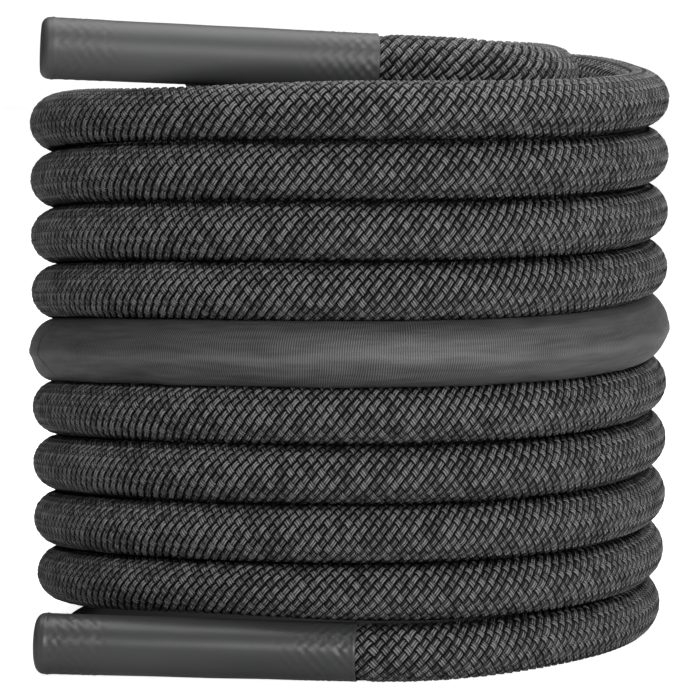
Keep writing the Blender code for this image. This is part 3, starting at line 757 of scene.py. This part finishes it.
def relief(place, from_tip, angle, seed):
    """Height that the braid, the tape, the ridge near the tip, the lip and dents add to a boot's wall."""
    across = (math.cos(angle) * 0.8, math.sin(angle) * 0.8 + seed)
    patch = 0.6 + 0.9 * noise.noise(Vector((place * 60, *across)) * 2.2)
    near_mouth = 0.00040 * (1 - ramp(place, 0.010, 0.060)) * ramp(place, 0.0005, 0.003)
    near_tip = 0.00024 * ramp(from_tip, 0.006, 0.012) * (1 - ramp(from_tip, 0.032, 0.052))
    wander = 0.8 * noise.noise(Vector((place * 45, *across)))
    pads = math.cos(2 * math.pi * place / 0.0068 + wander) * math.cos(braid_rows / 2 * angle + wander)
    height = (near_mouth + near_tip + 0.000025) * (pads - 0.5) * patch
    ridge = boot_ridge * math.exp(-((from_tip - 0.007) / 0.0009) ** 2)
    tape = 0.00013 * (1 - ramp(from_tip, 0.0365, 0.0385))
    rolled_lip = 0.00016 * math.exp(-((place - 0.0011) / 0.0010) ** 2)
    fade = ramp(from_tip, 0.0, 0.006) * ramp(place, 0.0, 0.004)
    dents = 0.00022 * noise.noise(Vector((place * 28, *across))) * fade
    return height + ridge + tape + rolled_lip + dents


def made_boot(name, mouth, towards_tip, length, seed):
    """Turns the profile round a boot's line and adds the relief outside."""
    side = towards_tip.cross(Vector((0, 0, 1))).normalized()
    up = side.cross(towards_tip)
    rings = []
    shape = bmesh.new()
    for place, radius, outside in boot_profile(length):
        if radius == 0:
            rings.append([shape.verts.new(mouth + towards_tip * place)])
            continue
        ring = []
        for turn in range(boot_sides):
            angle = 2 * math.pi * turn / boot_sides
            grown = radius + (relief(place, length - place, angle, seed) if outside else 0)
            spot = mouth + towards_tip * place + (side * math.cos(angle) + up * math.sin(angle)) * grown
            spot.z = max(spot.z, boot_floor_gap)
            ring.append(shape.verts.new(spot))
        rings.append(ring)
    for outer, inner in zip(rings, rings[1:]):
        for turn in range(boot_sides):
            after = (turn + 1) % boot_sides
            corners = [outer[turn % len(outer)], outer[after % len(outer)],
                       inner[after % len(inner)], inner[turn % len(inner)]]
            shape.faces.new(list(dict.fromkeys(corners)))
    bmesh.ops.recalc_face_normals(shape, faces=shape.faces)
    for face in shape.faces:
        face.smooth = True
    mesh = bpy.data.meshes.new(name)
    shape.to_mesh(mesh)
    shape.free()
    boot = bpy.data.objects.new(name, mesh)
    bpy.context.scene.collection.objects.link(boot)
    return boot


shrink_black, nodes, shader = new_material("shrink_rubber", Roughness=0.4, Specular_IOR_Level=0.6)
number, vector, scaled = sums(nodes)
place = put(nodes, "ShaderNodeTexCoord")[3]
blotch = put(nodes, "ShaderNodeTexNoise", place, None, 38.0, 3.0)[0]
grain = put(nodes, "ShaderNodeTexNoise", place, None, 1600.0, 2.0)[0]
nodes.links.new(grey_ramp(nodes, blotch, (0.3, 0.036, -0.01), (0.7, 0.052, -0.02)), shader["Base Color"])
upper = number("GREATER_THAN", put(nodes, "ShaderNodeSeparateXYZ", place)[2], 0.2)
duller = number("MULTIPLY_ADD", upper, 0.14, 0.24)
nodes.links.new(number("MULTIPLY_ADD", grain, 0.10, number("MULTIPLY_ADD", blotch, 0.16, duller)),
                shader["Roughness"])
bump = put(nodes, "ShaderNodeBump", 0.25, 0.00006, 0.1, grain)
nodes.links.new(bump[0], shader["Normal"])

for name, node, mouth, towards_tip, length, seed in (
        ("lower_grip", "lower_grip_boot", lower_mouth, lower_towards_tip, lower_length, 0.0),
        ("upper_grip", "upper_grip_boot", upper_mouth, upper_towards_tip, upper_length, 9.0)):
    boot = made_boot(name, mouth, towards_tip, length, seed)
    boot.data.materials.append(shrink_black)
    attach(boot, "root")
    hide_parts(node)

# ---- Inside the boots ----
# The braid's cut ends are melted into a hard seal, and cloth tape holds them while the boot shrinks. Both
# and the rope's laid core are inside, and keep their shape from the CAD source.
tape_cloth, nodes, shader = new_material("cloth_tape", Roughness=0.7)
place = put(nodes, "ShaderNodeTexCoord")[3]
weave = put(nodes, "ShaderNodeTexNoise", place, None, 900.0, 2.0)[0]
nodes.links.new(grey_ramp(nodes, weave, (0.3, 0.015, 0), (0.7, 0.04, 0)), shader["Base Color"])

seal_plastic, nodes, shader = new_material("melted_polyester", Roughness=0.3)
place = put(nodes, "ShaderNodeTexCoord")[3]
drips = put(nodes, "ShaderNodeTexNoise", place, None, 220.0, 3.0)[0]
nodes.links.new(grey_ramp(nodes, drips, (0.35, 0.01, 0), (0.65, 0.03, 0.1)), shader["Base Color"])
bump = put(nodes, "ShaderNodeBump", 0.6, 0.0004, 0.1, drips)
nodes.links.new(bump[0], shader["Normal"])

core_fibre, nodes, shader = new_material("core_fibre", Roughness=0.8)
place = put(nodes, "ShaderNodeTexCoord")[3]
fibres = put(nodes, "ShaderNodeTexNoise", place, None, 500.0, 3.0)[0]
nodes.links.new(grey_ramp(nodes, fibres, (0.3, 0.35, 0.05), (0.7, 0.6, 0.05)), shader["Base Color"])

for word, material in (("tape", tape_cloth), ("seal", seal_plastic), ("core", core_fibre)):
    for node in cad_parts:
        if word in node:
            kept = bpy.data.objects[node]
            for slot in kept.material_slots:
                slot.material = material

# ---- Floor and lights ----
# The coil stands on pale paper in a dim room. A large soft light hangs over it, a wide one stands behind
# the camera, and a small one on its right. Room and paper are white where the camera sees them. Inside the
# coil the paper's colour is painted near black and it does not glow, as painted shadow where hardly any
# light falls.
world_top, world_low = 0.20, 0.04
floor_grey = 0.84
seen_floor, seen_room = 0.9, 1.05
bpy.data.objects.remove(rope_line)

bpy.ops.mesh.primitive_plane_add(size=12)
floor = bpy.context.object
floor.name = "studio_floor"
white_paper, nodes, shader = new_material("white_paper", Base_Color=(0.3, 0.3, 0.3, 1), Roughness=0.8,
                                          Emission_Color=(1, 1, 1, 1))
grain = put(nodes, "ShaderNodeTexNoise", put(nodes, "ShaderNodeTexCoord")[3], None, 60.0)[0]
number, vector, scaled = sums(nodes)
x, y, z = put(nodes, "ShaderNodeSeparateXYZ", put(nodes, "ShaderNodeTexCoord")[3])
from_middle = number("SQRT", number("MULTIPLY_ADD", x, x, number("MULTIPLY", y, y)))
# Inside the coil the paper is painted dark and does not glow: painted shadow.
outside_coil = number("GREATER_THAN", from_middle, coil_radius)
paper = number("MULTIPLY", grain, number("MULTIPLY_ADD", outside_coil, 0.97, 0.03))
nodes.links.new(grey_ramp(nodes, paper, (0.0, 0.0, 0), (0.7, floor_grey, 0)), shader["Base Color"])
seen = put(nodes, "ShaderNodeLightPath")[0]
glow = number("MULTIPLY", number("MULTIPLY", seen, seen_floor), outside_coil)
nodes.links.new(glow, shader["Emission Strength"])
floor.data.materials.append(white_paper)

world = bpy.data.worlds.new("studio")
world.use_nodes = True
nodes = world.node_tree
number, vector, scaled = sums(nodes)
seen = put(nodes, "ShaderNodeLightPath")[0]
up = put(nodes, "ShaderNodeSeparateXYZ", put(nodes, "ShaderNodeTexCoord")[0])[2]
glow = number("MULTIPLY_ADD", number("MAXIMUM", up, 0.0), world_top - world_low, world_low)
strength = number("MAXIMUM", glow, number("MULTIPLY", seen, seen_room))
nodes.links.new(strength, nodes.nodes["Background"].inputs["Strength"])
nodes.nodes["Background"].inputs["Color"].default_value = (1, 1, 1, 1)
bpy.context.scene.world = world
bpy.context.scene.view_settings.view_transform = "Standard"


def soft_light(name, place, aim, size, power):
    """A soft light of this width and height that looks at a point."""
    data = bpy.data.lights.new(name, "AREA")
    data.shape = "RECTANGLE"
    data.size, data.size_y = size
    data.energy = power
    light = bpy.data.objects.new(name, data)
    light.location = place
    light.rotation_euler = (Vector(place) - Vector(aim)).to_track_quat("Z", "Y").to_euler()
    bpy.context.scene.collection.objects.link(light)


soft_light("overhead", (0.3, 0.5, 2.2), (0, 0.3, 0.3), (2.0, 2.7), 57)
soft_light("front", (0.6, -3.4, 1.5), (0, 0, 0.2), (3.0, 1.0), 64)
soft_light("right", (2.0, -2.8, 1.4), (0, 0, 0.2), (1.2, 1.2), 54)
